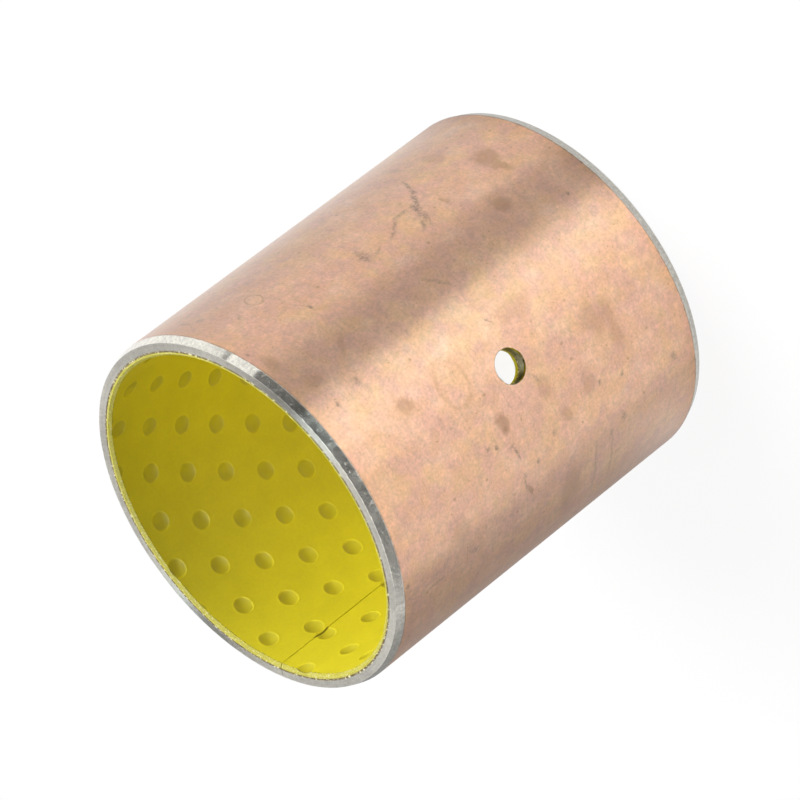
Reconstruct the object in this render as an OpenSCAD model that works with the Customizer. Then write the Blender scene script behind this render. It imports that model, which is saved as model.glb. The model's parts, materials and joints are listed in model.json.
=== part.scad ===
// Wrapped plain bush: a rolled steel strip with a sintered bronze layer and an acetal lining.
// The axis is +Z and the origin is the centre of the lower end, on which the bush stands.

/* [Bore and length] */
// Diameter of the running bore, inside the lining
bore_d = 40; // [30:0.5:60]
// Length from end to end
length = 50; // [20:0.5:80]

/* [Layers] */
// Thickness of the steel back
steel_t = 1.25; // [0.8:0.05:3]
// Thickness of the sintered bronze layer
bronze_t = 0.25; // [0.15:0.05:0.5]
// Thickness of the acetal lining
acetal_t = 0.5; // [0.35:0.05:1]

/* [Ends] */
// Length of the turned chamfer outside each end, along the axis
outer_chamfer_l = 1; // [0.4:0.1:2]
// Slope of the outer chamfer, in degrees from the axis
outer_chamfer_slope = 20; // [15:1:25]
// Size of the 45 degree chamfer inside each end
inner_chamfer = 0.3; // [0.1:0.05:0.6]

/* [Butt joint] */
// Width of the gap where the two ends of the rolled strip meet
joint_gap = 0.1; // [0.05:0.01:0.3]
// Place of the joint around the bush, in degrees from the oil hole
joint_angle = 240.5; // [30:0.5:330]

/* [Oil hole] */
// Diameter of the oil hole
oil_hole_d = 4; // [2:0.5:8]
// Height of the oil hole's axis above the middle of the length
oil_hole_lift = 0.5; // [-5:0.1:5]

/* [Grease pockets] */
// Diameter of each pocket at the surface of the lining
pocket_d = 2.2; // [1:0.1:2.4]
// Depth of each pocket
pocket_depth = 0.25; // [0.1:0.05:0.3]
// Distance around the bore from one line of pockets to the next
pocket_pitch_round = 2.63; // [2.5:0.01:5]
// Distance along the bore from one pocket of a line to the next
pocket_pitch_along = 10.54; // [6:0.02:16]
// How far each line of pockets lies below the line before it
pocket_line_drop = 4.49; // [3:0.01:6]
// Distance around the bore from the joint to the first line of pockets
pocket_joint_margin = 0.6; // [0.5:0.1:3]
// Height of the lowest pocket of the first line
pocket_first_h = 1.1; // [0:0.1:3]

/* [Hidden] */
$fn = 180;
copper_plate_colour = [0.86, 0.68, 0.56];
bronze_colour = [0.5, 0.4, 0.2];
acetal_colour = [0.82, 0.76, 0.16];
bore_r = bore_d / 2;
bronze_in_r = bore_r + acetal_t;
steel_in_r = bronze_in_r + bronze_t;
outer_r = steel_in_r + steel_t;
outer_chamfer_w = outer_chamfer_l * tan(outer_chamfer_slope);
oil_hole_h = length / 2 + oil_hole_lift;
cut_over = 1;
pocket_fn = 48;
pocket_ball_r = (pow(pocket_d / 2, 2) + pow(pocket_depth, 2)) / (2 * pocket_depth);
pocket_ball_from_axis = bore_r + pocket_depth - pocket_ball_r;
lining_run = 2 * PI * bore_r - joint_gap;
pocket_lines = floor((lining_run - pocket_joint_margin) / pocket_pitch_round) + 1;

// Angle of a distance measured around the bore
function bore_angle(run) = run / bore_r * 180 / PI;

// Height of the lowest pocket of a line, which is never below the lower end
function line_start(line) =
    let (h = (pocket_first_h - line * pocket_line_drop) % pocket_pitch_along)
    h < 0 ? h + pocket_pitch_along : h;

// Half section of the whole wall, with the chamfers of both ends
module wall_section() {
    polygon([
        [bore_r + inner_chamfer, 0],
        [outer_r - outer_chamfer_w, 0],
        [outer_r, outer_chamfer_l],
        [outer_r, length - outer_chamfer_l],
        [outer_r - outer_chamfer_w, length],
        [bore_r + inner_chamfer, length],
        [bore_r, length - inner_chamfer],
        [bore_r, inner_chamfer],
    ]);
}

// Slot that parts the ring where the ends of the strip meet
module joint_cut() {
    rotate([0, 0, joint_angle])
        translate([0, -joint_gap / 2, -cut_over])
            cube([outer_r + cut_over, joint_gap, length + 2 * cut_over]);
}

// Round hole through one side of the wall
module oil_hole_cut() {
    translate([bore_r / 2, 0, oil_hole_h])
        rotate([0, 90, 0])
            cylinder(d = oil_hole_d, h = outer_r - bore_r / 2 + cut_over, $fn = 64);
}

// One ring of the wall between two radii, parted at the joint and pierced by the oil hole
module wall_layer(inner_r, outer_r) {
    difference() {
        rotate_extrude()
            intersection() {
                wall_section();
                translate([inner_r, 0])
                    square([outer_r - inner_r, length]);
            }
        joint_cut();
        oil_hole_cut();
    }
}

// Shallow round pockets in slanting lines, laid out on the strip before it was rolled
module grease_pockets() {
    for (line = [0 : pocket_lines - 1]) {
        run = joint_gap / 2 + pocket_joint_margin + line * pocket_pitch_round;
        for (h = [line_start(line) : pocket_pitch_along : length])
            rotate([0, 0, joint_angle + bore_angle(run)])
                translate([pocket_ball_from_axis, 0, h])
                    sphere(r = pocket_ball_r, $fn = pocket_fn);
    }
}

// Steel strip rolled into a ring, copper plated outside
module steel_back() {
    color(copper_plate_colour)
        wall_layer(steel_in_r, outer_r);
}

// Porous bronze sintered to the steel
module bronze_interlayer() {
    color(bronze_colour)
        wall_layer(bronze_in_r, steel_in_r);
}

// Acetal lining with its grease pockets
module acetal_lining() {
    color(acetal_colour)
        difference() {
            wall_layer(bore_r, bronze_in_r);
            grease_pockets();
        }
}

steel_back();
bronze_interlayer();
acetal_lining();
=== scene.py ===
import json
import math
from types import SimpleNamespace

import bmesh
import bpy
from mathutils import Matrix, Vector


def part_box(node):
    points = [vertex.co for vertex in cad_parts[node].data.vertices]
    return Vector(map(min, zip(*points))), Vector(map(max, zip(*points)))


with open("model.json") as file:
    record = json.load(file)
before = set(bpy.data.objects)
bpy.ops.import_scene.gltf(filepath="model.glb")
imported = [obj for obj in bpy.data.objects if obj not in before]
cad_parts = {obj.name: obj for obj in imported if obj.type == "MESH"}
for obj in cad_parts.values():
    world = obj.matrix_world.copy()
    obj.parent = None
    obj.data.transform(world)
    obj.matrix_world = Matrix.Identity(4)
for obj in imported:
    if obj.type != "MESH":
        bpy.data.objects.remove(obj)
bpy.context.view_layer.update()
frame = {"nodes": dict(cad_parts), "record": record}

bl_info = {
    "name": "Wrapped plain bush",
    "version": (1, 0, 0),
    "blender": (4, 5, 0),
    "location": "3D View > Sidebar > Bush",
    "description": "Finishes a rolled steel, bronze and acetal bush and sets it in a small studio",
    "category": "Object",
}

MM = 0.001
TAU = 2 * math.pi
# Scale of a coordinate that isn't to be felt
UNFELT = 1000000.0
WHITE = (1.0, 1.0, 1.0)
COOL_WHITE = (0.86, 0.96, 1.0)

# Stretch of the metal's shine, and its turn: smooth around the bush, rough along it
GROOVE_STRETCH = 1.0
ACROSS_GROOVES = 0.25
# Oil film on the copper: the share that is covered, and its roughness
OIL_FILM = 1.0
OIL_SPREAD = 0.3

# A cloudy pattern is mostly between these two, around this middle
CLOUD_LOW = 0.3
CLOUD_HIGH = 0.7
CLOUD_MIDDLE = (0.5, 0.5, 0.5)

# Half width in mm of the blurred edge of a finish
EDGE_BLUR = 0.03
# Height in mm of the stretch where the lining's joint stands open
SLIT_HEIGHT = 43.4
# Height of each finish's relief, the bronze's being dug in
METAL_RELIEF = 0.006 * MM
BRONZE_RELIEF = -0.03 * MM
ACETAL_RELIEF = 0.03 * MM
# Keeps the floor out of the plane of the lower end
FLOOR_CLEARANCE = 0.02 * MM

# Small colours: painted shade on the steel wall of the oil hole, pores, dragged steel, and pale
# shavings on the bronze that are also painted glints, then painted shade in the open joint and the
# torn flecks of the lining, also painted glints
HOLE_SHADE_DARK = (0.085, 0.07, 0.02)
HOLE_SHADE_MOTTLE = (0.26, 0.23, 0.12)
PORE_BROWN = (0.20, 0.15, 0.06)
DRAGGED_STEEL = (0.50, 0.48, 0.42)
PALE_SHAVING_AND_GLINT = (0.84, 0.80, 0.52)
OPEN_JOINT_SHADE = (0.16, 0.12, 0.02)
PALE_FLECK_AND_GLINT = (0.80, 0.79, 0.55)

# Layout of the nodes in the editor
NODES_IN_ROW = 12
NODE_WIDTH = 220
NODE_HEIGHT = 260


def stated_mount(name):
    """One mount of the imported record."""
    for mount in frame["record"]["mounts"]:
        if mount["name"] == name:
            return mount
    raise RuntimeError("the packed record has no mount named " + name)


BORE_R = stated_mount("bore")["dims"]["r_mm"] * MM
SEAT_R = stated_mount("housing_seat")["dims"]["r_mm"] * MM
SEAT_L = stated_mount("housing_seat")["dims"]["length_mm"] * MM
HOLE_R = stated_mount("oil_hole")["dims"]["r_mm"] * MM
HOLE_H = stated_mount("oil_hole")["pos_m"][2]
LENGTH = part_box("steel_back")[1].z
BRONZE_OUT_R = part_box("bronze_interlayer")[1].y
CHAMFER_SLOPE = math.radians(20)
CHAMFER_IN_R = SEAT_R - (LENGTH - SEAT_L) / 2 * math.tan(CHAMFER_SLOPE)


# Marks on the copper. Each row is: degrees from the oil hole, height in mm, half width and half
# height in mm, tilt in degrees, strength.
BROWN_BLOTCHES = [
    (38.5, 12.3, 1.2, 1.1, 0, 0.75),
    (54.5, 7.7, 1.7, 1.3, 0, 0.75),
    (49.3, 7.6, 1.4, 0.8, 0, 0.65),
    (50.8, 16.1, 0.7, 0.4, 0, 0.6),
    (-12.2, 29.8, 1.4, 0.8, 0, 0.75),
    (-13.8, 29.8, 0.5, 0.4, 0, 0.9),
    (-35.4, 28.7, 0.8, 0.3, 10, 0.7),
    (-4.2, 13.0, 2.6, 1.4, 0, 0.35),
    (-8.2, 11.2, 2.8, 0.9, 0, 0.4),
    (-18.2, 17.2, 1.3, 0.8, 0, 0.4),
    (-22.7, 21.4, 1.2, 0.7, 20, 0.45),
    (-48.0, 22.0, 3.4, 1.6, 0, 0.45),
    (8.8, 39.2, 1.0, 0.9, 0, 0.55),
    (30.0, 45.8, 0.9, 1.1, 0, 0.4),
    (33.3, 40.0, 1.3, 0.4, -40, 0.4),
    (41.8, 47.6, 1.4, 0.7, 0, 0.5),
    (68.3, 10.3, 1.6, 0.7, 0, 0.35),
    (12.5, 21.0, 1.3, 2.6, 0, 0.3),
    (-32.0, 39.4, 1.6, 1.1, 0, 0.35),
    (-10.7, 23.0, 1.3, 0.9, 0, 0.35),
]

DARK_MARKS = [
    (65.0, 16.2, 1.4, 0.2, -24, 0.7),
    (61.5, 16.8, 0.42, 0.32, 0, 0.95),
    (58.3, 17.8, 1.4, 0.28, -33, 0.8),
    (55.3, 18.9, 0.8, 0.45, -25, 1.0),
    (51.2, 19.5, 1.4, 0.5, -20, 0.65),
    (48.9, 20.5, 0.8, 0.24, -35, 0.7),
    (56.8, 20.8, 0.24, 0.9, 0, 0.75),
    (54.8, 22.5, 0.95, 0.17, -55, 0.65),
    (52.4, 23.8, 0.85, 0.17, -65, 0.6),
    (52.3, 28.6, 1.1, 0.55, -10, 0.75),
    (50.6, 27.1, 0.2, 0.8, 25, 0.4),
    (49.3, 38.3, 0.32, 0.2, 0, 0.9),
    (52.2, 38.9, 1.2, 0.07, 25, 0.5),
    (77.3, 13.8, 1.1, 0.45, 0, 0.35),
    (77.8, 46.7, 0.8, 0.2, 0, 0.5),
    (73.3, 45.8, 0.5, 0.4, 0, 0.4),
    (62.6, 43.9, 0.45, 0.2, -30, 0.5),
    (20.7, 45.7, 0.28, 0.22, 0, 0.85),
    (22.6, 42.0, 0.5, 0.35, 0, 0.6),
    (30.8, 25.6, 1.7, 0.22, 38, 0.4),
    (14.3, 24.6, 0.6, 0.1, 35, 0.7),
    (28.7, 5.5, 0.2, 0.18, 0, 0.85),
    (-16.7, 31.8, 0.22, 0.22, 0, 0.8),
    (-15.4, 33.0, 0.3, 0.25, 0, 0.5),
    (-22.2, 29.4, 0.7, 0.14, 15, 0.75),
    (-19.2, 29.8, 0.15, 0.4, 0, 0.6),
    (-30.2, 29.0, 0.3, 0.2, 0, 0.7),
    (-32.8, 29.2, 0.9, 0.1, 8, 0.5),
    (-29.2, 26.8, 0.3, 0.25, 0, 0.7),
    (-24.7, 23.6, 0.4, 0.3, 0, 0.5),
    (-23.0, 12.3, 0.25, 0.22, 0, 0.95),
    (-20.7, 15.7, 0.3, 0.2, 0, 0.7),
    (-28.0, 19.5, 0.2, 0.16, 0, 0.7),
    (-36.2, 13.2, 0.6, 0.35, 0, 0.5),
    (-38.2, 15.3, 0.5, 0.2, 0, 0.5),
    (-29.7, 4.4, 0.55, 0.4, 0, 0.55),
    (-41.7, 37.8, 0.3, 0.6, 0, 0.5),
    (-42.6, 44.0, 0.14, 1.3, 0, 0.45),
    (-47.0, 17.9, 2.6, 0.22, 0, 0.4),
    (-48.0, 15.2, 3.0, 0.16, 0, 0.4),
    (-7.2, 23.4, 0.7, 0.16, 30, 0.5),
    (48.8, 48.2, 0.3, 0.2, 0, 0.7),
    (-35.7, 48.3, 0.3, 0.3, 0, 0.6),
]

# Rings left by drops that dried: the same rows, with the strength of the line.
DRIED_RINGS = [
    (65.1, 40.6, 1.3, 0.9, -10, 0.6),
    (35.6, 12.0, 2.7, 2.2, 0, 0.22),
    (6.0, 32.9, 2.7, 2.0, 0, 0.28),
    (52.3, 36.8, 2.6, 1.6, 0, 0.15),
]

# Paler, less red patches, where the plate is thinnest, and at 12 degrees a painted highlight streak.
PALE_AND_HIGHLIGHT_PATCHES = [
    (16.3, 32.0, 1.3, 2.8, 0, 0.45),
    (0.5, 18.4, 2.6, 1.8, 0, 0.4),
    (19.5, 6.0, 1.8, 2.2, 0, 0.35),
    # Painted highlight: a soft pale streak on the copper
    (12.0, 8.5, 0.5, 4.0, -12, 0.35),
    (21.5, 26.0, 1.4, 1.8, 0, 0.25),
]

# The two families of fine scratches on the copper: tilt in degrees, narrowing.
SCRATCHES = ((-38, 7.5), (24, 9.0))

# Lamps of the studio: name, degrees around the bush, degrees above the floor, distance, width and
# height in metres, power in watts, colour. The first list shines on the metal, the second on the
# plastic and the floor, as the two want light from different sides.
METAL_LAMPS = [
    ("metal_lamp_front", 24, 35, 0.7, 0.28, 0.35, 1.97, COOL_WHITE),
    ("metal_lamp_middle", 3, 35, 0.7, 0.25, 0.35, 1.08, WHITE),
    ("metal_lamp_right", -18, 35, 0.7, 0.30, 0.35, 1.00, WHITE),
    ("metal_lamp_far_right", -53, 35, 0.7, 0.54, 0.35, 1.68, WHITE),
    ("metal_lamp_back_right", -117, 35, 0.7, 0.85, 0.35, 0.62, WHITE),
    ("metal_lamp_front_left", 57, 35, 0.7, 0.30, 0.35, 0.20, WHITE),
    ("metal_lamp_left", 95, 35, 0.7, 0.50, 0.35, 1.05, WHITE),
    ("metal_lamp_far_left", 142, 35, 0.7, 0.50, 0.35, 0.38, WHITE),
    ("metal_lamp_back", 195, 33, 0.7, 0.35, 0.35, 0.34, WHITE),
    ("metal_lamp_low_left", 78, 8, 0.7, 0.22, 0.30, 0.15, WHITE),
    ("metal_lamp_low_far_left", 110, 8, 0.7, 0.50, 0.30, 0.21, WHITE),
    ("metal_lamp_low_back_left", 162, 8, 0.7, 0.60, 0.30, 0.26, WHITE),
    ("metal_lamp_low_back_right", -106, 8, 0.7, 0.60, 0.30, 0.26, WHITE),
]
PLASTIC_LAMPS = [
    ("plastic_lamp_left_high", 102, 60, 0.7, 0.35, 0.35, 4.4, WHITE),
    ("plastic_lamp_top", 192, 75, 0.7, 0.25, 0.25, 1.44, WHITE),
    ("plastic_lamp_left_low", 102, 8, 0.7, 0.35, 0.35, 1.20, WHITE),
    ("plastic_lamp_front_left", 72, 60, 0.7, 0.35, 0.35, 0.85, WHITE),
    ("plastic_lamp_right_high", -60, 60, 0.7, 0.35, 0.35, 0.55, WHITE),
]


class BushSizes(bpy.types.PropertyGroup):
    """Sizes that place the finishes on the bush."""

    bore_radius: bpy.props.FloatProperty(
        name="Bore radius",
        description="Radius of the running surface of the lining",
        default=BORE_R,
        unit="LENGTH",
        precision=5,
    )
    outside_radius: bpy.props.FloatProperty(
        name="Outside radius",
        description="Radius of the copper-plated outside",
        default=SEAT_R,
        unit="LENGTH",
        precision=5,
    )
    plated_length: bpy.props.FloatProperty(
        name="Plated length",
        description="Length of the copper between the two turned chamfers",
        default=SEAT_L,
        unit="LENGTH",
        precision=5,
    )
    length: bpy.props.FloatProperty(
        name="Length",
        description="Length of the bush from end to end",
        default=LENGTH,
        unit="LENGTH",
        precision=5,
    )
    oil_hole_radius: bpy.props.FloatProperty(
        name="Oil hole radius",
        description="Radius of the hole through the wall",
        default=HOLE_R,
        unit="LENGTH",
        precision=5,
    )
    oil_hole_height: bpy.props.FloatProperty(
        name="Oil hole height",
        description="Height of the hole's axis above the lower end",
        default=HOLE_H,
        unit="LENGTH",
        precision=5,
    )
    joint_angle: bpy.props.FloatProperty(
        name="Joint angle",
        description="Place of the butt joint around the bush, from the oil hole",
        default=math.radians(240.5),
        subtype="ANGLE",
    )
    joint_gap: bpy.props.FloatProperty(
        name="Joint gap",
        description="Width of the gap where the ends of the strip meet",
        default=0.1 * MM,
        unit="LENGTH",
        precision=5,
    )
    inner_chamfer: bpy.props.FloatProperty(
        name="Inner chamfer",
        description="Size of the chamfer cut in each end of the lining",
        default=0.3 * MM,
        unit="LENGTH",
        precision=5,
    )


class PocketLayout(bpy.types.PropertyGroup):
    """Where the grease pockets lie on the unrolled lining."""

    diameter: bpy.props.FloatProperty(
        name="Pocket diameter",
        description="Diameter of a pocket at the surface of the lining",
        default=2.2 * MM,
        unit="LENGTH",
        precision=5,
    )
    pitch_round: bpy.props.FloatProperty(
        name="Pitch round the bore",
        description="Distance from one line of pockets to the next",
        default=2.63 * MM,
        unit="LENGTH",
        precision=5,
    )
    pitch_along: bpy.props.FloatProperty(
        name="Pitch along the bore",
        description="Distance from one pocket of a line to the next",
        default=10.54 * MM,
        unit="LENGTH",
        precision=5,
    )
    line_drop: bpy.props.FloatProperty(
        name="Drop of each line",
        description="How far each line lies below the line before it",
        default=4.49 * MM,
        unit="LENGTH",
        precision=5,
    )
    joint_margin: bpy.props.FloatProperty(
        name="Margin at the joint",
        description="Distance from the joint to the first line",
        default=0.6 * MM,
        unit="LENGTH",
        precision=5,
    )
    first_height: bpy.props.FloatProperty(
        name="First height",
        description="Height of the lowest pocket of the first line",
        default=1.1 * MM,
        unit="LENGTH",
        precision=5,
    )


class BushFinish(bpy.types.PropertyGroup):
    """Colours of the bush."""

    copper: bpy.props.FloatVectorProperty(
        name="Copper",
        description="Main colour of the copper plate",
        default=(0.755, 0.468, 0.315),
        subtype="COLOR",
        min=0,
        max=1,
    )
    warm_copper: bpy.props.FloatVectorProperty(
        name="Warm copper",
        description="Yellower copper of the broad clouds",
        default=(0.74, 0.463, 0.265),
        subtype="COLOR",
        min=0,
        max=1,
    )
    rosy_copper: bpy.props.FloatVectorProperty(
        name="Rosy copper",
        description="Pinker copper of the patches a few millimetres wide",
        default=(0.75, 0.43, 0.318),
        subtype="COLOR",
        min=0,
        max=1,
    )
    amber_copper: bpy.props.FloatVectorProperty(
        name="Amber copper",
        description="Yellower copper of the patches a millimetre wide",
        default=(0.765, 0.445, 0.245),
        subtype="COLOR",
        min=0,
        max=1,
    )
    # Also paints the highlight streak among the pale patches
    pale_and_highlight_copper: bpy.props.FloatVectorProperty(
        name="Pale copper",
        description="Paler copper where the plate is thinnest",
        default=(0.78, 0.54, 0.42),
        subtype="COLOR",
        min=0,
        max=1,
    )
    end_copper: bpy.props.FloatVectorProperty(
        name="Copper near the ends",
        description="Redder copper in the last millimetres before each turned end",
        default=(0.75, 0.43, 0.25),
        subtype="COLOR",
        min=0,
        max=1,
    )
    brown_stain: bpy.props.FloatVectorProperty(
        name="Brown stain",
        description="Tarnish blotches on the copper",
        default=(0.42, 0.22, 0.10),
        subtype="COLOR",
        min=0,
        max=1,
    )
    dark_stain: bpy.props.FloatVectorProperty(
        name="Dark mark",
        description="Dirt and scuffs on the copper",
        default=(0.20, 0.13, 0.085),
        subtype="COLOR",
        min=0,
        max=1,
    )
    steel: bpy.props.FloatVectorProperty(
        name="Turned steel",
        description="Bare steel of the ends and chamfers",
        default=(0.80, 0.775, 0.70),
        subtype="COLOR",
        min=0,
        max=1,
    )
    bronze: bpy.props.FloatVectorProperty(
        name="Sintered bronze",
        description="Grains of the thin bronze layer",
        default=(0.42, 0.30, 0.13),
        subtype="COLOR",
        min=0,
        max=1,
    )
    acetal: bpy.props.FloatVectorProperty(
        name="Acetal",
        description="Yellow of the lining",
        default=(0.83, 0.74, 0.032),
        subtype="COLOR",
        min=0,
        max=1,
    )
    # Painted shade with grease: the pockets' yellow is darker in their hollows
    pocket: bpy.props.FloatVectorProperty(
        name="Pocket",
        description="Darker yellow inside the grease pockets",
        default=(0.64, 0.57, 0.032),
        subtype="COLOR",
        min=0,
        max=1,
    )
    # Painted shade: darker than the lining, to take back the light that the chamfer's upward face
    # catches
    shaded_cut_acetal: bpy.props.FloatVectorProperty(
        name="Cut acetal",
        description="Lighter, rough yellow of the machined chamfer",
        default=(0.49, 0.45, 0.06),
        subtype="COLOR",
        min=0,
        max=1,
    )


class StudioSettings(bpy.types.PropertyGroup):
    """The floor, the lamps and the camera."""

    floor_colour: bpy.props.FloatVectorProperty(
        name="Floor",
        description="Colour of the pale floor",
        default=(0.88, 0.88, 0.88),
        subtype="COLOR",
        min=0,
        max=1,
    )
    floor_size: bpy.props.FloatProperty(
        name="Floor size",
        description="Side of the square floor",
        default=3.0,
        unit="LENGTH",
    )
    floor_lift: bpy.props.FloatProperty(
        name="Floor white",
        description="Share of plain white that the camera sees in the floor",
        default=0.9,
        subtype="FACTOR",
        min=0,
        max=1,
    )
    floor_shine: bpy.props.FloatProperty(
        name="Floor white in the metal",
        description="Brightness of the floor where the metal reflects it",
        default=1.10,
        min=0,
        max=2,
    )
    # The next three settings paint shadow into the floor's white as the metal reflects it
    contact_level: bpy.props.FloatProperty(
        name="Floor under the bush",
        description="Share of the floor's white that is left in the metal close to the bush",
        default=0.58,
        subtype="FACTOR",
        min=0,
        max=1,
    )
    dim_azimuth: bpy.props.FloatProperty(
        name="Dim side",
        description="Side of the floor that the metal reflects less, from the oil hole",
        default=math.radians(-126),
        subtype="ANGLE",
    )
    dim_level: bpy.props.FloatProperty(
        name="Dim side's white",
        description="Share of the floor's white that is left in the metal on the dim side",
        default=0.30,
        subtype="FACTOR",
        min=0,
        max=1,
    )
    sky_level: bpy.props.FloatProperty(
        name="Room light",
        description="Strength of the even light from all round",
        default=0.04,
        min=0,
        max=2,
    )
    metal_level: bpy.props.FloatProperty(
        name="Light on the metal",
        description="Multiplies the power of the lamps that shine on the metal",
        default=1.18,
        min=0,
        max=5,
    )
    plastic_level: bpy.props.FloatProperty(
        name="Light on the plastic",
        description="Multiplies the power of the lamps that shine on the plastic and the floor",
        default=1.08,
        min=0,
        max=5,
    )
    camera_azimuth: bpy.props.FloatProperty(
        name="Camera azimuth",
        description="Direction of the camera around the bush, from the oil hole",
        default=math.radians(11.70),
        subtype="ANGLE",
    )
    camera_elevation: bpy.props.FloatProperty(
        name="Camera elevation",
        description="Height of the camera above the floor, as an angle",
        default=math.radians(32.82),
        subtype="ANGLE",
    )
    camera_roll: bpy.props.FloatProperty(
        name="Camera roll",
        description="Turn of the camera about its own view line",
        default=math.radians(127.63),
        subtype="ANGLE",
    )
    camera_distance: bpy.props.FloatProperty(
        name="Camera distance",
        description="Distance from the middle of the bush to the camera",
        default=0.63796,
        unit="LENGTH",
        precision=5,
    )
    camera_lens: bpy.props.FloatProperty(
        name="Camera lens",
        description="Focal length of the camera, in millimetres",
        default=262.66,
        min=10,
        max=1000,
    )
    aim: bpy.props.FloatVectorProperty(
        name="Aim point",
        description="Point that the camera looks at",
        default=(-0.00009, -0.00019, 0.02519),
        subtype="TRANSLATION",
        precision=5,
    )


class FinishBench:
    """Lays out and wires the shader nodes of one finish. Places in it are in millimetres."""

    def __init__(self, name):
        self.material = bpy.data.materials.new(name)
        self.material.use_nodes = True
        self.tree = self.material.node_tree
        self.tree.nodes.clear()
        self.count = 0

    def add(self, kind, **settings):
        """A new node, laid out in rows."""
        node = self.tree.nodes.new(kind)
        row, column = divmod(self.count, NODES_IN_ROW)
        node.location = (NODE_WIDTH * column, -NODE_HEIGHT * row)
        self.count += 1
        for key, value in settings.items():
            setattr(node, key, value)
        return node

    def put(self, value, socket):
        """Gives an input another node's output, a number or a colour."""
        if isinstance(value, bpy.types.NodeSocket):
            self.tree.links.new(value, socket)
        elif socket.type == "RGBA" and len(value) == 3:
            socket.default_value = (*value, 1)
        else:
            socket.default_value = value

    def wire(self, node, **values):
        """Sets the inputs that the names stand for."""
        for key, value in values.items():
            self.put(value, node.inputs[key.replace("_", " ").title()])
        return node

    def calc(self, operation, *values, clamp=False):
        """A sum or a comparison of numbers."""
        node = self.add("ShaderNodeMath", operation=operation, use_clamp=clamp)
        for value, socket in zip(values, node.inputs):
            self.put(value, socket)
        return node.outputs[0]

    def plus(self, first, second):
        return self.calc("ADD", first, second)

    def minus(self, first, second):
        return self.calc("SUBTRACT", first, second)

    def times(self, first, second):
        return self.calc("MULTIPLY", first, second)

    def larger(self, first, second):
        return self.calc("MAXIMUM", first, second)

    def distance(self, first, second):
        """How far apart two numbers are."""
        return self.calc("ABSOLUTE", self.minus(first, second))

    def vector(self, operation, *values):
        node = self.add("ShaderNodeVectorMath", operation=operation)
        for value, socket in zip(values, node.inputs):
            self.put(value, socket)
        return node.outputs["Value"] if operation == "LENGTH" else node.outputs["Vector"]

    def scaled(self, vector, factor):
        node = self.add("ShaderNodeVectorMath", operation="SCALE")
        self.put(vector, node.inputs[0])
        self.put(factor, node.inputs["Scale"])
        return node.outputs["Vector"]

    def moved(self, vector, *shift):
        """The place moved aside, for a pattern of its own."""
        return self.vector("ADD", vector, shift)

    def join(self, x, y, z):
        node = self.add("ShaderNodeCombineXYZ")
        for value, socket in zip((x, y, z), node.inputs):
            self.put(value, socket)
        return node.outputs[0]

    def split(self, vector):
        """The three numbers of a vector."""
        node = self.add("ShaderNodeSeparateXYZ")
        self.put(vector, node.inputs[0])
        return tuple(node.outputs)

    def change(self, kind, value, low, high, to_low, to_high):
        node = self.add("ShaderNodeMapRange", interpolation_type=kind)
        self.wire(node, value=value, from_min=low, from_max=high, to_min=to_low, to_max=to_high)
        return node.outputs["Result"]

    def step(self, value, low, high, to_low=0.0, to_high=1.0):
        """Smooth change from to_low to to_high while value goes from low to high."""
        return self.change("SMOOTHSTEP", value, low, high, to_low, to_high)

    def span(self, value, low, high, to_low, to_high):
        """Straight change from to_low to to_high while value goes from low to high."""
        return self.change("LINEAR", value, low, high, to_low, to_high)

    def noise(self, vector, scale, detail, roughness):
        """Cloudy pattern of so many clouds to the millimetre."""
        node = self.add("ShaderNodeTexNoise", noise_dimensions="3D")
        return self.wire(node, vector=vector, scale=scale, detail=detail, roughness=roughness)

    def sway(self, pattern, low, high):
        """A number that goes from low to high and back with a cloudy pattern."""
        return self.span(pattern.outputs["Fac"], CLOUD_LOW, CLOUD_HIGH, low, high)

    def patches(self, pattern, low, high, to_low=0.0, to_high=1.0):
        """Mask of the places where a cloudy pattern is high."""
        return self.step(pattern.outputs["Fac"], low, high, to_low, to_high)

    def warp(self, pattern, reach):
        """Shift that wanders with the colours of a cloudy pattern."""
        centred = self.vector("SUBTRACT", pattern.outputs["Color"], CLOUD_MIDDLE)
        return self.scaled(centred, reach)

    def cells(self, vector, scale):
        """Distance from the nearest of scattered points."""
        node = self.add("ShaderNodeTexVoronoi", voronoi_dimensions="3D", feature="F1")
        return self.wire(node, vector=vector, scale=scale).outputs["Distance"]

    def mix(self, factor, first, second):
        """The first number where factor is 0, the second where it is 1."""
        node = self.add("ShaderNodeMix", data_type="FLOAT")
        self.put(factor, node.inputs[0])
        self.put(first, node.inputs[2])
        self.put(second, node.inputs[3])
        return node.outputs[0]

    def blend(self, factor, first, second, mode="MIX"):
        node = self.add("ShaderNodeMix", data_type="RGBA", blend_type=mode)
        self.put(factor, node.inputs[0])
        self.put(first, node.inputs[6])
        self.put(second, node.inputs[7])
        return node.outputs[2]

    def shade(self, colour, factor):
        """The colour times a plain number."""
        grey = self.join(factor, factor, factor)
        return self.blend(1.0, colour, grey, "MULTIPLY")

    def bump(self, height, distance, strength):
        node = self.add("ShaderNodeBump")
        return self.wire(node, height=height, distance=distance, strength=strength).outputs["Normal"]

    def finish(self, **values):
        """Closes the finish with one principled shader."""
        shader = self.wire(self.add("ShaderNodeBsdfPrincipled"), **values)
        self.put(shader.outputs[0], self.add("ShaderNodeOutputMaterial").inputs[0])
        return self.material


def place_on_bush(bench):
    """Position in mm, distance from the axis in mm, and angle from the joint."""
    sizes = bpy.context.scene.bush_sizes
    coordinates = bench.add("ShaderNodeTexCoord")
    point = bench.scaled(coordinates.outputs["Object"], 1 / MM)
    x, y, height = bench.split(point)
    from_axis = bench.calc("SQRT", bench.plus(bench.times(x, x), bench.times(y, y)))
    angle = bench.calc("ARCTAN2", y, x)
    from_joint = bench.calc("WRAP", bench.minus(angle, sizes.joint_angle), TAU, 0.0)
    return SimpleNamespace(point=point, x=x, y=y, height=height,
                           from_axis=from_axis, from_joint=from_joint)


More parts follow.
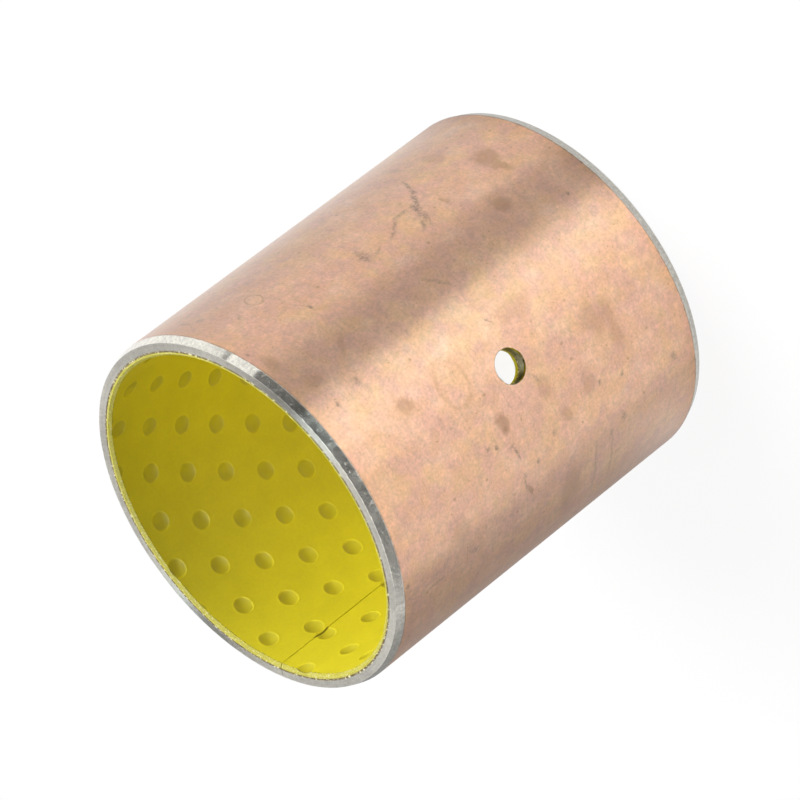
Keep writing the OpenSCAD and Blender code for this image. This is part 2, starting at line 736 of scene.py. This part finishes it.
def to_nearer_end(bench, at, part_length):
    """Distance in mm from the nearer end of a length centred on the bush."""
    middle = bpy.context.scene.bush_sizes.length / 2 / MM
    return bench.minus(part_length / 2 / MM, bench.distance(at.height, middle))


def around_oil_hole(bench, at):
    """Distance in mm from the oil hole's axis, and mask of the hole's wall."""
    sizes = bpy.context.scene.bush_sizes
    above = bench.minus(at.height, sizes.oil_hole_height / MM)
    from_hole = bench.vector("LENGTH", bench.join(at.y, above, 0.0))
    radius = sizes.oil_hole_radius / MM
    near_hole = bench.step(from_hole, radius + 0.02, radius + 0.06, 1.0, 0.0)
    return from_hole, bench.times(near_hole, bench.calc("GREATER_THAN", at.x, 0.0))


def mark_mask(bench, place, row, soft, line):
    """Mask of one mark from a row of the lists: a ring if its line has a width, or a blot."""
    sizes = bpy.context.scene.bush_sizes
    angle, height, half_width, half_height, tilt, strength = row
    run = (math.radians(angle) - sizes.joint_angle) % TAU * sizes.outside_radius / MM
    mapping = bench.add("ShaderNodeMapping", vector_type="TEXTURE")
    mapping.inputs["Location"].default_value = (run, height, 0)
    mapping.inputs["Rotation"].default_value = (0, 0, math.radians(tilt))
    mapping.inputs["Scale"].default_value = (half_width, half_height, UNFELT)
    bench.put(place, mapping.inputs["Vector"])
    away = bench.vector("LENGTH", mapping.outputs[0])
    if line:
        return bench.step(bench.distance(away, 1.0), 0.02, line, strength, 0.0)
    return bench.step(away, 1.0 - soft, 1.0 + soft, strength, 0.0)


def all_marks(bench, surface, rows, soft=0.0, line=0.0):
    """The strongest of the masks of a list of marks.

    The mask so far rides along as an unfelt third coordinate, so that the marks are worked out
    one after another: side by side they need more room than the renderer has."""
    run, height = bench.split(surface)[:2]
    total = 0.0
    for row in rows:
        mask = mark_mask(bench, bench.join(run, height, total), row, soft, line)
        total = bench.larger(total, mask)
    return total


def copper_plate(bench, at, surface):
    """Copper with its clouds, its marks, and the patterns that its roughness follows."""
    sizes = bpy.context.scene.bush_sizes
    finish = bpy.context.scene.bush_finish
    fine_warp = bench.noise(at.point, 1.6, 3.0, 0.6)
    coarse_warp = bench.noise(at.point, 0.45, 2.0, 0.5)
    fine_shift = bench.warp(fine_warp, 0.9)
    coarse_shift = bench.warp(coarse_warp, 1.8)
    blotch_place = bench.vector("ADD", surface, bench.vector("ADD", fine_shift, coarse_shift))
    mark_place = bench.vector("ADD", surface, bench.scaled(fine_shift, 0.55))

    # Broad clouds of two coppers, thin patches and a painted highlight streak, redder ends, then
    # mottling and streaks
    cloud = bench.noise(at.point, 0.16, 3.0, 0.55)
    colour = bench.blend(bench.patches(cloud, 0.42, 0.62), finish.copper, finish.warm_copper)
    thin = bench.noise(bench.moved(at.point, 31.0, 7.0, 3.0), 0.22, 3.0, 0.6)
    thin_mask = bench.patches(thin, 0.52, 0.72, 0.0, 0.45)
    pale = bench.larger(thin_mask, all_marks(bench, blotch_place, PALE_AND_HIGHLIGHT_PATCHES, soft=0.6))
    colour = bench.blend(pale, colour, finish.pale_and_highlight_copper)
    to_end = to_nearer_end(bench, at, sizes.plated_length)
    ragged_end = bench.plus(to_end, bench.span(coarse_warp.outputs["Fac"], 0.2, 0.8, -0.9, 0.9))
    near_end = bench.step(ragged_end, 0.2, 2.6, 0.65, 0.0)
    colour = bench.blend(near_end, colour, finish.end_copper)
    rose = bench.noise(bench.moved(at.point, 12.0, 3.0, 27.0), 0.4, 2.0, 0.5)
    colour = bench.blend(bench.patches(rose, 0.4, 0.62, 0.0, 0.75), colour, finish.rosy_copper)
    mottle = bench.noise(at.point, 1.1, 4.0, 0.65)
    colour = bench.shade(colour, bench.sway(rose, 1.06, 0.94))
    colour = bench.shade(colour, bench.sway(mottle, 0.87, 1.13))
    amber = bench.noise(bench.moved(at.point, 41.0, 23.0, 9.0), 0.6, 1.0, 0.4)
    colour = bench.blend(bench.patches(amber, 0.42, 0.66, 0.0, 0.45), colour, finish.amber_copper)
    grain = bench.noise(at.point, 3.2, 4.0, 0.7)
    colour = bench.shade(colour, bench.sway(grain, 0.86, 1.14))
    rolled = bench.noise(bench.vector("MULTIPLY", surface, (0.12, 2.6, 1.0)), 1.0, 3.0, 0.6)
    colour = bench.shade(colour, bench.sway(rolled, 0.98, 1.02))

    # Tarnish: blotches, dried rings, specks, pinpricks and scratches
    brown = all_marks(bench, blotch_place, BROWN_BLOTCHES, soft=0.45)
    brown = bench.times(brown, bench.sway(mottle, 0.55, 1.0))
    colour = bench.blend(brown, colour, finish.brown_stain)
    ring_shift = bench.scaled(bench.vector("ADD", fine_shift, coarse_shift), 0.5)
    rings = all_marks(bench, bench.vector("ADD", surface, ring_shift), DRIED_RINGS, line=0.22)
    rings = bench.times(rings, bench.patches(mottle, 0.36, 0.56, 0.1, 1.0))
    colour = bench.blend(rings, colour, finish.brown_stain)
    dark = all_marks(bench, mark_place, DARK_MARKS, soft=0.8)
    soot = bench.noise(bench.moved(at.point, 5.0, 17.0, 11.0), 3.6, 4.0, 0.7)
    dark = bench.times(dark, bench.patches(soot, 0.42, 0.58, 0.3, 1.0))
    speck = bench.step(bench.cells(at.point, 0.55), 0.05, 0.16, 1.0, 0.0)
    speck = bench.times(speck, bench.patches(coarse_warp, 0.48, 0.6, 0.0, 0.55))
    colour = bench.blend(speck, colour, finish.brown_stain)
    pin = bench.step(bench.cells(bench.moved(at.point, 7.0, 2.0, 5.0), 1.15), 0.05, 0.15, 0.6, 0.0)
    pin = bench.times(pin, bench.patches(amber, 0.46, 0.58))
    colour = bench.blend(pin, colour, finish.brown_stain)
    for degrees, narrowing in SCRATCHES:
        turned = bench.add("ShaderNodeMapping")
        turned.inputs["Rotation"].default_value = (0, 0, math.radians(degrees))
        turned.inputs["Scale"].default_value = (0.45, narrowing, 1)
        bench.put(surface, turned.inputs["Vector"])
        scratch = bench.noise(turned.outputs[0], 0.8, 1.0, 0.4)
        scratched = bench.patches(scratch, 0.69, 0.74, 0.0, 0.28)
        colour = bench.blend(scratched, colour, finish.brown_stain)

    # Dirt: the dark marks, and a burnt line where the plate ends
    colour = bench.blend(dark, colour, finish.dark_stain)
    burnt_edge = bench.plus(to_end, bench.sway(mottle, -0.05, 0.05))
    burnt_line = bench.step(burnt_edge, 0.08, 0.2, 0.55, 0.0)
    colour = bench.blend(burnt_line, colour, finish.dark_stain)
    return SimpleNamespace(colour=colour, to_end=to_end, mottle=mottle, grain=grain,
                           brown=brown, dark=dark)


def turned_steel(bench, at):
    """Bare steel with rings of fine tool marks that follow the distance from the axis, and painted
    shade on the oil hole's wall.
    """
    finish = bpy.context.scene.bush_finish
    across = bench.plus(at.from_axis, bench.times(at.height, 0.35))
    tool_place = bench.join(across, bench.times(at.from_joint, 0.8), 0.0)
    tool_marks = bench.noise(bench.vector("MULTIPLY", tool_place, (14.0, 1.0, 1.0)), 1.0, 3.0, 0.7)
    smears = bench.noise(at.point, 0.9, 3.0, 0.6)
    colour = bench.shade(finish.steel, bench.sway(tool_marks, 0.82, 1.1))
    colour = bench.shade(colour, bench.sway(smears, 0.9, 1.06))
    scuff = bench.noise(bench.moved(at.point, 8.0, 4.0, 19.0), 3.0, 3.0, 0.65)
    colour = bench.shade(colour, bench.sway(scuff, 0.86, 1.12))
    from_hole, in_hole = around_oil_hole(bench, at)
    # Painted shade: the steel wall of the oil hole is painted nearly black, mottled
    hole_shade = bench.blend(bench.patches(smears, 0.4, 0.62), HOLE_SHADE_DARK, HOLE_SHADE_MOTTLE)
    colour = bench.blend(bench.times(in_hole, 0.93), colour, hole_shade)
    return SimpleNamespace(colour=colour, tool_marks=tool_marks, scuff=scuff, from_hole=from_hole)


def plate_mask(bench, at, copper, steel):
    """Where the plate is: the outside between the chamfers, its edges a little ragged."""
    sizes = bpy.context.scene.bush_sizes
    outside = bench.calc("GREATER_THAN", at.from_axis, sizes.outside_radius / MM - 0.06)
    past_edge = bench.minus(copper.to_end, bench.sway(copper.mottle, -0.02, 0.06))
    plated = bench.times(outside, bench.step(past_edge, 0.0, EDGE_BLUR))
    radius = sizes.oil_hole_radius / MM
    past_hole = bench.plus(steel.from_hole, bench.sway(copper.grain, -0.04, 0.04))
    off_hole = bench.step(past_hole, radius + 0.01, radius + 0.05)
    off_hole = bench.larger(off_hole, bench.calc("LESS_THAN", at.x, 0.0))
    return bench.times(plated, off_hole)


def copper_and_steel():
    """Copper plate outside, bare turned steel on the ends, chamfers and cut faces."""
    sizes = bpy.context.scene.bush_sizes
    bench = FinishBench("copper_plate_on_turned_steel")
    at = place_on_bush(bench)
    run = bench.times(at.from_joint, sizes.outside_radius / MM)
    surface = bench.join(run, at.height, 0.0)
    copper = copper_plate(bench, at, surface)
    steel = turned_steel(bench, at)
    plated = plate_mask(bench, at, copper, steel)
    colour = bench.blend(plated, steel.colour, copper.colour)

    # The chamfers are smoother than the end faces, and dirt is duller than metal
    dirt = bench.larger(bench.times(copper.brown, 0.6), copper.dark)
    dirt = bench.times(dirt, plated)
    copper_rough = bench.sway(copper.mottle, 0.46, 0.52)
    steel_rough = bench.sway(steel.tool_marks, 0.40, 0.47)
    on_chamfer = bench.step(at.from_axis, CHAMFER_IN_R / MM - EDGE_BLUR, CHAMFER_IN_R / MM + EDGE_BLUR)
    steel_rough = bench.minus(steel_rough, bench.times(on_chamfer, 0.315))
    steel_rough = bench.plus(steel_rough, bench.patches(steel.scuff, 0.54, 0.72, 0.0, 0.06))
    roughness = bench.mix(plated, steel_rough, copper_rough)
    roughness = bench.calc("ADD", roughness, bench.times(dirt, 0.2), clamp=True)
    metal = bench.minus(1.0, bench.times(dirt, 0.5))

    copper_height = bench.times(copper.grain.outputs["Fac"], 0.5)
    copper_height = bench.plus(copper_height, copper.mottle.outputs["Fac"])
    steel_height = bench.times(steel.tool_marks.outputs["Fac"], 2.0)
    steel_height = bench.times(steel_height, bench.span(on_chamfer, 0.0, 1.0, 1.0, 0.5))
    relief = bench.mix(plated, steel_height, copper_height)
    normal = bench.bump(relief, METAL_RELIEF, 0.8)
    grooves = bench.add("ShaderNodeTangent", direction_type="RADIAL", axis="Z")
    film = bench.times(plated, OIL_FILM)
    return bench.finish(base_color=colour, metallic=metal, roughness=roughness, normal=normal,
                        anisotropic=GROOVE_STRETCH, anisotropic_rotation=ACROSS_GROOVES,
                        tangent=grooves.outputs[0], coat_weight=film, coat_roughness=OIL_SPREAD)


def sintered_bronze():
    """Grains of bronze fused together, seen as a thin brown line at each end."""
    finish = bpy.context.scene.bush_finish
    bench = FinishBench("sintered_bronze_grains")
    at = place_on_bush(bench)
    grains = bench.cells(at.point, 9.0)
    pores = bench.noise(at.point, 7.0, 2.0, 0.6)
    colour = bench.blend(bench.patches(pores, 0.4, 0.62), finish.bronze, PORE_BROWN)
    colour = bench.shade(colour, bench.span(grains, 0.0, 0.7, 1.2, 0.6))

    # Steel dragged over the bronze by the tool, then pale shavings of plastic that are also painted
    # glints of burrs
    to_steel = bench.minus(BRONZE_OUT_R / MM, at.from_axis)
    to_steel = bench.plus(to_steel, bench.sway(pores, -0.09, 0.09))
    colour = bench.blend(bench.step(to_steel, 0.03, 0.12, 0.8, 0.0), colour, DRAGGED_STEEL)
    shaving = bench.noise(bench.moved(at.point, 2.0, 14.0, 5.0), 2.4, 3.0, 0.65)
    shaved = bench.patches(shaving, 0.54, 0.6, 0.0, 0.85)
    colour = bench.blend(shaved, colour, PALE_SHAVING_AND_GLINT)
    metal = bench.span(shaved, 0.0, 1.0, 0.7, 0.0)
    roughness = bench.sway(pores, 0.45, 0.7)
    normal = bench.bump(grains, BRONZE_RELIEF, 1.0)
    return bench.finish(base_color=colour, metallic=metal, roughness=roughness, normal=normal)


def nearest_line(bench, value, pitch):
    """Number of the nearest of evenly spaced lines, and the distance from it."""
    number = bench.calc("ROUND", bench.calc("DIVIDE", value, pitch))
    return number, bench.minus(value, bench.times(number, pitch))


def pocket_masks(bench, at, run):
    """Masks of the grease pockets and of their lips, and the edges' wobble."""
    sizes = bpy.context.scene.bush_sizes
    pockets = bpy.context.scene.bush_pockets
    start = (sizes.joint_gap / 2 + pockets.joint_margin) / MM
    line, sideways = nearest_line(bench, bench.minus(run, start), pockets.pitch_round / MM)
    raised = bench.plus(at.height, bench.times(line, pockets.line_drop / MM))
    raised = bench.minus(raised, pockets.first_height / MM)
    upward = nearest_line(bench, raised, pockets.pitch_along / MM)[1]
    wobble = bench.noise(at.point, 1.3, 2.0, 0.5)
    from_pocket = bench.vector("LENGTH", bench.join(sideways, upward, 0.0))
    from_pocket = bench.plus(from_pocket, bench.sway(wobble, -0.04, 0.04))
    radius = pockets.diameter / 2 / MM
    grease_and_shade_in_pocket = bench.step(from_pocket, radius - 0.2, radius + 0.05, 1.0, 0.0)
    lip_relief_and_highlight = bench.step(bench.distance(from_pocket, radius + 0.1), 0.0, 0.2, 1.0, 0.0)
    return grease_and_shade_in_pocket, lip_relief_and_highlight, wobble


def shut_joint(bench, at, run, wobble, colour):
    """The joint: smeared nearly shut, so a faint line, with one stretch that stands open and is
    painted dark as shade.
    """
    once_round = TAU * bpy.context.scene.bush_sizes.bore_radius / MM
    to_joint = bench.calc("MINIMUM", run, bench.minus(once_round, run))
    to_joint = bench.plus(to_joint, bench.sway(wobble, -0.03, 0.03))
    colour = bench.shade(colour, bench.step(to_joint, 0.06, 0.24, 0.95, 1.0))
    off_slit = bench.distance(at.height, SLIT_HEIGHT)
    # Painted shade: the open stretch of the joint is painted dark
    across_slit = bench.step(to_joint, 0.1, 0.17, 0.6, 0.0)
    slit_shade = bench.times(across_slit, bench.step(off_slit, 0.9, 1.4, 1.0, 0.0))
    return bench.blend(slit_shade, colour, OPEN_JOINT_SHADE)


def yellow_acetal():
    """Satin yellow plastic, darker in the pockets with grease and painted shade, and rough where the
    ends were machined.
    """
    sizes = bpy.context.scene.bush_sizes
    finish = bpy.context.scene.bush_finish
    bench = FinishBench("yellow_acetal")
    at = place_on_bush(bench)
    run = bench.times(at.from_joint, sizes.bore_radius / MM)
    grease_and_shade_in_pocket, lip_relief_and_highlight, wobble = pocket_masks(bench, at, run)
    clouds = bench.noise(at.point, 0.3, 3.0, 0.5)
    fine = bench.noise(at.point, 3.0, 3.0, 0.6)
    acetal = bench.shade(finish.acetal, bench.sway(clouds, 0.96, 1.03))
    acetal = bench.shade(acetal, bench.sway(fine, 0.97, 1.03))
    # Painted highlight: the lip round each pocket is a little lighter
    acetal = bench.shade(acetal, bench.span(lip_relief_and_highlight, 0.0, 1.0, 1.0, 1.03))
    # Painted shade with grease: the pockets are darker yellow
    colour = bench.blend(bench.times(grease_and_shade_in_pocket, 0.9), acetal, finish.pocket)
    colour = shut_joint(bench, at, run, wobble, colour)

    # The machined chamfer, darkened as painted shade, with pale flecks of torn plastic that are also
    # painted glints, and painted shade on the oil hole's wall
    cut_edge = to_nearer_end(bench, at, sizes.length)
    torn = bench.noise(bench.vector("MULTIPLY", at.point, (1.0, 1.0, 2.0)), 3.5, 4.0, 0.7)
    chamfer = sizes.inner_chamfer / MM
    cut_edge = bench.plus(cut_edge, bench.sway(torn, -0.14, 0.14))
    cut = bench.step(cut_edge, chamfer, chamfer + 0.06, 1.0, 0.0)
    shaded_cut_colour = bench.shade(finish.shaded_cut_acetal, bench.sway(torn, 0.75, 1.1))
    fleck = bench.noise(bench.moved(at.point, 3.0, 9.0, 21.0), 4.5, 2.0, 0.6)
    # Painted glints: the torn flecks are near white
    shaded_cut_colour = bench.blend(bench.patches(fleck, 0.56, 0.64, 0.0, 0.45), shaded_cut_colour, PALE_FLECK_AND_GLINT)
    colour = bench.blend(cut, colour, shaded_cut_colour)
    # Painted shade: the lining is darker on the oil hole's wall
    in_hole = around_oil_hole(bench, at)[1]
    colour = bench.shade(colour, bench.span(in_hole, 0.0, 1.0, 1.0, 0.6))

    roughness = bench.sway(fine, 0.38, 0.5)
    roughness = bench.calc("ADD", roughness, bench.times(cut, 0.25), clamp=True)
    relief = bench.plus(bench.times(lip_relief_and_highlight, 0.45), bench.times(fine.outputs["Fac"], 0.25))
    torn_relief = bench.times(bench.times(torn.outputs["Fac"], cut), 3.0)
    normal = bench.bump(bench.plus(relief, torn_relief), ACETAL_RELIEF, 0.8)
    return bench.finish(base_color=colour, roughness=roughness, normal=normal)


def give_finish(node_name, material):
    """Puts a finish on every slot of a CAD node."""
    for slot in frame["nodes"][node_name].material_slots:
        slot.material = material


def floor_sheet():
    """Square sheet just under the bush."""
    studio = bpy.context.scene.bush_studio
    sheet = bmesh.new()
    bmesh.ops.create_grid(sheet, x_segments=4, y_segments=4, size=studio.floor_size / 2)
    mesh = bpy.data.meshes.new("studio_floor")
    sheet.to_mesh(mesh)
    sheet.free()
    floor = bpy.data.objects.new("studio_floor", mesh)
    floor.location.z = -FLOOR_CLEARANCE
    bpy.context.scene.collection.objects.link(floor)
    return floor


def floor_white_in_metal(bench, on_floor):
    """In the metal the floor's white has a painted contact shadow close to the bush and painted shade
    toward one side.
    """
    studio = bpy.context.scene.bush_studio
    floor_x, floor_y = bench.split(on_floor)[:2]
    from_middle = bench.vector("LENGTH", bench.join(floor_x, floor_y, 0.0))
    # Painted shadow: the floor's white in the metal drops close to the bush
    under = bench.step(from_middle, SEAT_R / MM, SEAT_R / MM + 5.0, studio.contact_level, 1.0)
    dim_side = bench.plus(bench.times(floor_x, math.cos(studio.dim_azimuth)),
                          bench.times(floor_y, math.sin(studio.dim_azimuth)))
    dim_side = bench.calc("DIVIDE", dim_side, from_middle)
    painted_side_shade = bench.step(dim_side, 0.45, 0.98, 1.0, studio.dim_level)
    return bench.times(bench.times(under, painted_side_shade), studio.floor_shine)


def pale_floor():
    """Matt floor that keeps the shadow, nearly plain white to the camera and the metal, with painted
    shadow in the metal's white close to the bush and on one side.
    """
    studio = bpy.context.scene.bush_studio
    bench = FinishBench("pale_floor")
    coordinates = bench.add("ShaderNodeTexCoord")
    on_floor = bench.scaled(coordinates.outputs["Object"], 1 / MM)
    grain = bench.noise(on_floor, 0.8, 3.0, 0.6)
    colour = bench.shade(studio.floor_colour, bench.sway(grain, 0.995, 1.005))
    matt = bench.wire(bench.add("ShaderNodeBsdfDiffuse"), color=colour)
    glow = bench.wire(bench.add("ShaderNodeEmission"), color=WHITE)
    path = bench.add("ShaderNodeLightPath")
    mirrored = bench.larger(path.outputs["Is Glossy Ray"], path.outputs["Is Transmission Ray"])
    in_metal = floor_white_in_metal(bench, on_floor)
    bench.wire(glow, strength=bench.span(mirrored, 0.0, 1.0, 1.0, in_metal))
    seen = bench.times(path.outputs["Is Camera Ray"], studio.floor_lift)
    share = bench.larger(mirrored, seen)
    mix = bench.add("ShaderNodeMixShader")
    bench.put(share, mix.inputs[0])
    bench.put(matt.outputs[0], mix.inputs[1])
    bench.put(glow.outputs[0], mix.inputs[2])
    bench.put(mix.outputs[0], bench.add("ShaderNodeOutputMaterial").inputs[0])
    return bench.material


def make_floor():
    """The floor under the bush."""
    floor = floor_sheet()
    floor.data.materials.append(pale_floor())


def away_from_bush(azimuth, elevation):
    """Direction from the bush, at an angle around it and an angle above the floor."""
    return Vector((math.cos(elevation) * math.cos(azimuth),
                   math.cos(elevation) * math.sin(azimuth),
                   math.sin(elevation)))


def make_lamp(name, azimuth, elevation, distance, width, height, power, colour, on_metal):
    """One soft rectangular lamp that faces the middle of the bush."""
    studio = bpy.context.scene.bush_studio
    data = bpy.data.lights.new(name, "AREA")
    data.shape = "RECTANGLE"
    data.size = width
    data.size_y = height
    data.color = colour
    data.energy = power * (studio.metal_level if on_metal else studio.plastic_level)
    lamp = bpy.data.objects.new(name, data)
    away = away_from_bush(math.radians(azimuth), math.radians(elevation))
    lamp.location = Vector(studio.aim) + away * distance
    lamp.rotation_euler = away.to_track_quat("Z", "Y").to_euler()
    lamp.visible_camera = False
    lamp.visible_glossy = on_metal
    lamp.visible_diffuse = not on_metal
    bpy.context.scene.collection.objects.link(lamp)


def make_sky():
    """Even light from all round, white to the camera."""
    studio = bpy.context.scene.bush_studio
    world = bpy.data.worlds.new("studio_room")
    world.use_nodes = True
    tree = world.node_tree
    tree.nodes.clear()
    path = tree.nodes.new("ShaderNodeLightPath")
    room = tree.nodes.new("ShaderNodeBackground")
    room.inputs["Color"].default_value = (*WHITE, 1)
    room.inputs["Strength"].default_value = studio.sky_level
    white = tree.nodes.new("ShaderNodeBackground")
    white.inputs["Color"].default_value = (*WHITE, 1)
    white.inputs["Strength"].default_value = 1.0
    mix = tree.nodes.new("ShaderNodeMixShader")
    output = tree.nodes.new("ShaderNodeOutputWorld")
    tree.links.new(path.outputs["Is Camera Ray"], mix.inputs[0])
    tree.links.new(room.outputs[0], mix.inputs[1])
    tree.links.new(white.outputs[0], mix.inputs[2])
    tree.links.new(mix.outputs[0], output.inputs[0])
    bpy.context.scene.world = world


def make_camera():
    """Camera at the photograph's viewing angle."""
    studio = bpy.context.scene.bush_studio
    data = bpy.data.cameras.new("studio_camera")
    data.sensor_width = 36
    data.sensor_fit = "HORIZONTAL"
    data.lens = studio.camera_lens
    data.clip_start = 0.01
    data.clip_end = 20
    camera = bpy.data.objects.new("studio_camera", data)
    bpy.context.scene.collection.objects.link(camera)
    away = away_from_bush(studio.camera_azimuth, studio.camera_elevation)
    ahead = -away
    level_right = ahead.cross(Vector((0, 0, 1))).normalized()
    level_up = level_right.cross(ahead)
    roll = studio.camera_roll
    top = math.cos(roll) * level_up + math.sin(roll) * level_right
    right = ahead.cross(top)
    turned = Matrix((right, top, away)).transposed()
    place = Vector(studio.aim) + away * studio.camera_distance
    camera.matrix_world = Matrix.LocRotScale(place, turned, None)
    bpy.context.scene.camera = camera


class BUSH_OT_finish_steel_back(bpy.types.Operator):
    """Gives the steel back its copper plate and its bare turned ends"""

    bl_idname = "bush.finish_steel_back"
    bl_label = "Finish steel back"
    bl_options = {"REGISTER", "UNDO"}

    def execute(self, context):
        give_finish("steel_back", copper_and_steel())
        return {"FINISHED"}


class BUSH_OT_finish_bronze_interlayer(bpy.types.Operator):
    """Gives the bronze layer its sintered grains"""

    bl_idname = "bush.finish_bronze_interlayer"
    bl_label = "Finish bronze interlayer"
    bl_options = {"REGISTER", "UNDO"}

    def execute(self, context):
        give_finish("bronze_interlayer", sintered_bronze())
        return {"FINISHED"}


class BUSH_OT_finish_acetal_lining(bpy.types.Operator):
    """Gives the lining its satin yellow, its darker pockets and its machined ends"""

    bl_idname = "bush.finish_acetal_lining"
    bl_label = "Finish acetal lining"
    bl_options = {"REGISTER", "UNDO"}

    def execute(self, context):
        give_finish("acetal_lining", yellow_acetal())
        return {"FINISHED"}


class BUSH_OT_set_up_studio(bpy.types.Operator):
    """Makes the pale floor, the soft lamps and the camera"""

    bl_idname = "bush.set_up_studio"
    bl_label = "Set up studio"
    bl_options = {"REGISTER", "UNDO"}

    def execute(self, context):
        make_floor()
        make_sky()
        for row in METAL_LAMPS:
            make_lamp(*row, on_metal=True)
        for row in PLASTIC_LAMPS:
            make_lamp(*row, on_metal=False)
        make_camera()
        context.scene.view_settings.view_transform = "Standard"
        return {"FINISHED"}


class BUSH_PT_workshop(bpy.types.Panel):
    """Lists the finishes, the sizes and the studio"""

    bl_idname = "BUSH_PT_workshop"
    bl_label = "Wrapped plain bush"
    bl_space_type = "VIEW_3D"
    bl_region_type = "UI"
    bl_category = "Bush"

    def draw(self, context):
        layout = self.layout
        scene = context.scene
        for operator in OPERATORS:
            layout.operator(operator.bl_idname)
        for heading, group in (
            ("Sizes", scene.bush_sizes),
            ("Grease pockets", scene.bush_pockets),
            ("Colours", scene.bush_finish),
            ("Studio", scene.bush_studio),
        ):
            box = layout.box()
            box.label(text=heading)
            for key in group.__annotations__:
                box.prop(group, key)


OPERATORS = (
    BUSH_OT_finish_steel_back,
    BUSH_OT_finish_bronze_interlayer,
    BUSH_OT_finish_acetal_lining,
    BUSH_OT_set_up_studio,
)
GROUPS = (
    ("bush_sizes", BushSizes),
    ("bush_pockets", PocketLayout),
    ("bush_finish", BushFinish),
    ("bush_studio", StudioSettings),
)


def register():
    """Adds the settings, the operators and the panel."""
    for name, group in GROUPS:
        bpy.utils.register_class(group)
        setattr(bpy.types.Scene, name, bpy.props.PointerProperty(type=group))
    for operator in OPERATORS:
        bpy.utils.register_class(operator)
    bpy.utils.register_class(BUSH_PT_workshop)


def unregister():
    """Takes away what register added."""
    bpy.utils.unregister_class(BUSH_PT_workshop)
    for operator in reversed(OPERATORS):
        bpy.utils.unregister_class(operator)
    for name, group in reversed(GROUPS):
        delattr(bpy.types.Scene, name)
        bpy.utils.unregister_class(group)


def main():
    """Runs every operator."""
    register()
    bpy.ops.bush.finish_steel_back()
    bpy.ops.bush.finish_bronze_interlayer()
    bpy.ops.bush.finish_acetal_lining()
    bpy.ops.bush.set_up_studio()


if __name__ == "__main__":
    main()
